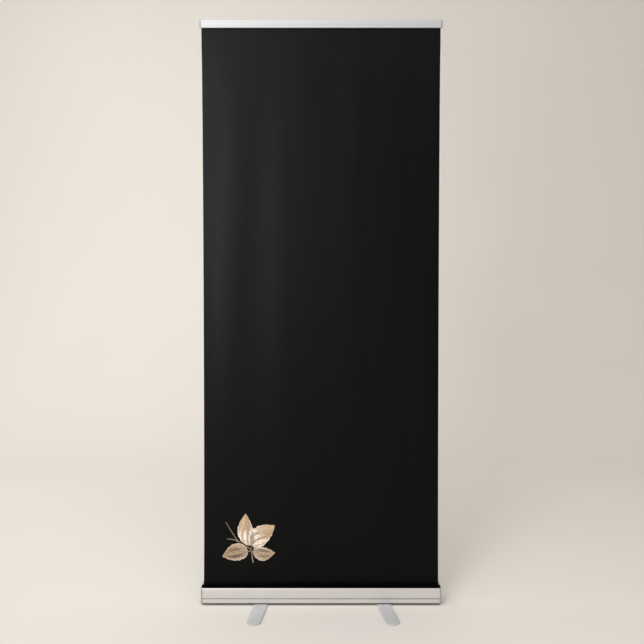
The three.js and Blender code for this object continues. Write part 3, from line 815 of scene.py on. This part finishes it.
def build_tube(node, body):
    box = Span(node)
    radius = box.size.x / 2
    low, high = box.lo.z, box.hi.z
    profile = [
        (radius - TUBE_WALL, low),
        (radius - 0.2, low),
        (radius, low + 0.2),
        (radius, high - 0.2),
        (radius - 0.2, high),
        (radius - TUBE_WALL, high),
        (radius - TUBE_WALL, low),
    ]
    tube = revolved(f"{node}_drawn", profile, (box.mid.x, box.mid.y, 0), "z", 64)
    fit_out(tube, body, "anodised_pole", node)


def build_collar(node, body, around, inside):
    """A twist lock: a fluted grip between smooth bands, closing on the thinner tube at its top."""
    box = Span(node)
    outer, low, high = box.size.x / 2, box.lo.z, box.hi.z
    gap = 0.4
    bore, lip = Span(around).size.x / 2 + gap, Span(inside).size.x / 2 + gap
    grip = (low + 4, high - 9)
    heights = np.linspace(*grip, 17)
    profile = [
        (bore, low),
        (outer - 0.8, low),
        (outer - 0.25, low + 0.25),
        (outer, low + 0.8),
        *((outer, z) for z in heights),
        (outer, high - 7.6),
        (outer - 0.4, high - 6.4),
        (outer - 2.2, high - 0.8),
        (outer - 2.5, high - 0.25),
        (outer - 3.1, high),
        (lip, high),
        (lip, high - 4.4),
        (bore, high - 4.4),
        (bore, low),
    ]
    ribs = flutes(18, 0.75, *grip, bore + 1.5)
    collar = revolved(f"{node}_fluted", profile, (box.mid.x, box.mid.y, 0), "z", 144, ribs)
    fit_out(collar, body, "black_plastic", node)


def build_socket():
    """The moulded cup in the base that the pole stands in, with a flange on the housing's top."""
    box = SOCKET
    flange, low, high = box.size.x / 2, box.lo.z, box.hi.z
    cup, bore = flange - 1.5, Span("lower_pole_tube").size.x / 2 + 0.3
    profile = [
        (0, low),
        (cup - 0.5, low),
        (cup, low + 0.5),
        (cup, high - 2),
        (flange, high - 2),
        (flange, high - 0.8),
        (flange - 0.2, high - 0.3),
        (flange - 0.7, high),
        (bore + 0.5, high),
        (bore, high - 0.5),
        (bore, low + 3.5),
        (0, low + 3.5),
    ]
    socket = revolved("pole_cup", profile, (box.mid.x, box.mid.y, 0), "z", 96)
    fit_out(socket, "base", "black_plastic", "pole_socket")


def build_pole():
    build_socket()
    build_tube("lower_pole_tube", "base")
    build_tube("middle_pole_tube", "pole_middle")
    build_tube("upper_pole_tube", "pole_upper")
    build_collar("lower_twist_collar", "lower_collar", "lower_pole_tube", "middle_pole_tube")
    build_collar("middle_twist_collar", "middle_collar", "middle_pole_tube", "upper_pole_tube")
    hook = softened("pole_top_hook", 0.6)
    fit_out(hook, "pole_upper", "black_plastic", "pole_top_hook")


# ---------- clamp rail ----------
HINGE = {"bead": 1.5, "hook": 1.9, "outer": 3.3}  # radii
JAW_GROOVE = {"from": 7.4, "to": 8.6, "depth": 0.5}  # heights above the jaw's bottom


def hinge_arc(radius, start, end, steps):
    """Points round the rail's hinge, in degrees from +Y towards +Z."""
    angles = np.radians(np.linspace(start, end, steps + 1))
    return [(HINGE_Y + radius * math.cos(a), HINGE_Z + radius * math.sin(a)) for a in angles]


def jaw_section():
    """The front jaw: a hook round the hinge's bead, a grooved face and a lip on the film."""
    front, bottom = JAW.lo.y, JAW.lo.z
    back = front + HINGE["outer"] - HINGE["hook"]
    lip = JAW.hi.y
    sunk = front + JAW_GROOVE["depth"]
    return fillet([
        *hinge_arc(HINGE["outer"], 90, 180, 12),
        (front, bottom + JAW_GROOVE["to"], 0.2),
        (sunk, bottom + JAW_GROOVE["to"], 0.2),
        (sunk, bottom + JAW_GROOVE["from"], 0.2),
        (front, bottom + JAW_GROOVE["from"], 0.2),
        (front, bottom, 0.9),
        (lip, bottom, 0.5),
        (lip, bottom + 4, 0.4),
        (lip - 1.3, bottom + 4, 0.4),
        (lip - 1.3, bottom + WALL),
        (back, bottom + WALL, 0.3),
        *hinge_arc(HINGE["hook"], 180, 90, 10),
    ])


def rail_body_section():
    """The rear body: the hinge's bead, the plate behind the film and the pole hook's channel."""
    rear, bottom, top = RAIL_BODY.hi.y, RAIL_BODY.lo.z, RAIL_BODY.hi.z
    plate = FILM.hi.y + 0.3
    neck = HINGE_Y + HINGE["outer"]
    roof = RAIL_TOP - 4
    return fillet([
        *hinge_arc(HINGE["bead"], 35, 325, 20),
        (neck, HINGE_Z - WALL / 2),
        (plate, HINGE_Z - WALL / 2),
        (plate, bottom, 0.3),
        (plate + WALL, bottom, 0.3),
        (plate + WALL, roof - WALL, 0.3),
        (rear - WALL, roof - WALL, 0.4),
        (rear - WALL, bottom + 4, 0.3),
        (rear, bottom + 4, 0.3),
        (rear, roof, 1.2),
        (plate + WALL + 2, roof + 0.1, 1),
        (plate + WALL + 1.4, HINGE_Z + WALL / 2, 0.5),
        (neck, HINGE_Z + WALL / 2),
    ])


def build_rail():
    jaw = extrusion("rail_front_jaw", jaw_section(), JAW.lo.x, JAW.hi.x)
    fit_out(jaw, "rail_jaw", "anodised_rail", "top_rail_jaw")
    body = extrusion("rail_rear_body", rail_body_section(), RAIL_BODY.lo.x, RAIL_BODY.hi.x)
    fit_out(body, "pole_upper", "anodised_rail", "top_rail_body")
    for end in ("left", "right"):
        box = Span(f"{end}_rail_cap")
        section = fillet([
            (box.lo.y, box.lo.z, 1.6),
            (box.hi.y, box.lo.z + 4, 4),
            (box.hi.y, box.hi.z - 3, 1.6),
            (box.lo.y + 7, box.hi.z, 3),
            (box.lo.y, box.hi.z, 3.2),
        ], 8)
        cap = extrusion(f"{end}_rail_moulding", section, box.lo.x, box.hi.x)
        round_rim(cap, box.lo.x if end == "left" else box.hi.x, 1.2)
        fit_out(cap, "pole_upper", "silver_cap", f"{end}_rail_cap")


# ---------- feet ----------
def build_foot(end):
    body = f"{end}_foot"
    plate = softened(f"{end}_foot_plate", 0.8)
    fit_out(plate, body, "foot_metal", f"{end}_foot_plate")
    for which in ("front", "rear"):
        pad = softened(f"{end}_foot_pad_{which}", 0.3, 2)
        fit_out(pad, body, "foot_rubber", f"{end}_foot_pad_{which}")
    build_rivet(end)


def build_rivet(end):
    """The pivot: a domed head under the foot, a closed head on the housing's floor."""
    box = Span(f"{end}_foot_rivet")
    head, low, high = box.size.x / 2, box.lo.z, box.hi.z
    profile = [
        (0, low),
        (head - 0.9, low),
        (head - 0.3, low + 0.3),
        (head, low + 0.9),
        (RIVET_SHANK, low + 0.9),
        (RIVET_SHANK, high - 2),
        (head - 1, high - 2),
        (head - 1.3, high - 0.9),
        (head - 2.4, high - 0.2),
        (0, high),
    ]
    rivet = revolved(f"{end}_pivot_rivet", profile, (box.mid.x, box.mid.y, 0), "z", 48)
    fit_out(rivet, "base", "galvanised_steel", f"{end}_foot_rivet")


# ---------- stage ----------
def build_stage():
    """A pale floor that runs up into a far wall, so that the stand can be seen from behind too."""
    wall, radius, reach, height, steps = 4600.0, 2600.0, 9000.0, 9000.0, 16
    profile = [(-reach, 0)]
    for k in range(steps + 1):
        angle = math.pi / 2 * k / steps
        profile.append((wall - radius + radius * math.sin(angle), radius * (1 - math.cos(angle))))
    profile.append((wall, height))
    work = bmesh.new()
    rows = [[work.verts.new(Vector((x, y, z)) * MM) for y, z in profile] for x in (-reach, reach)]
    for k in range(len(profile) - 1):
        work.faces.new((rows[0][k], rows[1][k], rows[1][k + 1], rows[0][k + 1]))
    mesh = bpy.data.meshes.new("backdrop")
    work.to_mesh(mesh)
    work.free()
    mesh.shade_smooth()
    backdrop = object_of("backdrop", mesh)
    material, tree, shader = new_material("backdrop_paper", BACKDROP, 0.9, specular=0.1)
    haze = object_noise(tree, 1.2, detail=2)
    drive(tree, shader, "Base Color", haze, tint(BACKDROP, 0.985), BACKDROP)
    mesh.materials.append(material)


def soft_light(name, place, aim, size, power, spread=math.pi):
    """A rectangular lamp that the camera doesn't see."""
    data = bpy.data.lights.new(name, "AREA")
    data.shape, data.size, data.size_y = "RECTANGLE", *size
    data.energy, data.color, data.spread = power, LAMP_COLOUR, spread
    lamp = object_of(name, data)
    lamp.location = place
    lamp.visible_camera = False
    lamp.rotation_euler = (Vector(aim) - Vector(place)).to_track_quat("-Z", "Y").to_euler()


def build_lights():
    soft_light("key_left", (-2.3, -3.0, 3.0), (-0.3, 0, 1.2), (2.2, 2.2), KEY_POWER)
    soft_light("front_left", (-1.5, -3.6, 2.05), (-0.2, 0, 1.1), (1.4, 2.8), FRONT_POWER)
    soft_light("wall_wash", (-2.9, 0.4, 3.4), (0.1, 4.6, 1.5), (2.6, 2.6), WALL_POWER, WALL_SPREAD)
    soft_light("top", (-0.3, -1.5, 3.6), (0, -0.5, 0), (2.6, 1.6), TOP_POWER)
    world = bpy.data.worlds.new("studio")
    world.use_nodes = True
    sky = world.node_tree.nodes["Background"]
    sky.inputs["Color"].default_value = (*SKY_COLOUR, 1)
    sky.inputs["Strength"].default_value = SKY_STRENGTH
    bpy.context.scene.world = world


def build_camera():
    """Straight in front, at chest height, tipped down a little."""
    data = bpy.data.cameras.new("camera")
    data.lens, data.sensor_width = LENS, SENSOR
    camera = object_of("camera", data)
    camera.location = CAMERA_AT
    camera.rotation_euler = (math.pi / 2 - CAMERA_TIP, 0, 0)
    bpy.context.scene.camera = camera


# ---------- assembly ----------
build_camera()
bpy.context.scene.view_settings.view_transform = "Standard"
for node, thing in frame["nodes"].items():
    for slot in thing.material_slots:
        slot.material = MATERIALS[CAD_SLOTS[node]]
build_housing()
build_painted_shade()
build_trim()
for end in ("left", "right"):
    build_end_cap(end)
    for i, place in enumerate(SCREW_PLACES):
        build_cap_screw(end, place, 0.3 + 0.7 * i)
graphic = build_graphic()
sprig = build_sprig()
build_pole()
build_rail()
build_foot("left")
build_foot("right")
build_stage()
build_lights()

# ---------- own mesh copies for the film and the sprig ---
for piece in (graphic, *sprig):
    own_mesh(piece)

bpy.context.view_layer.update()
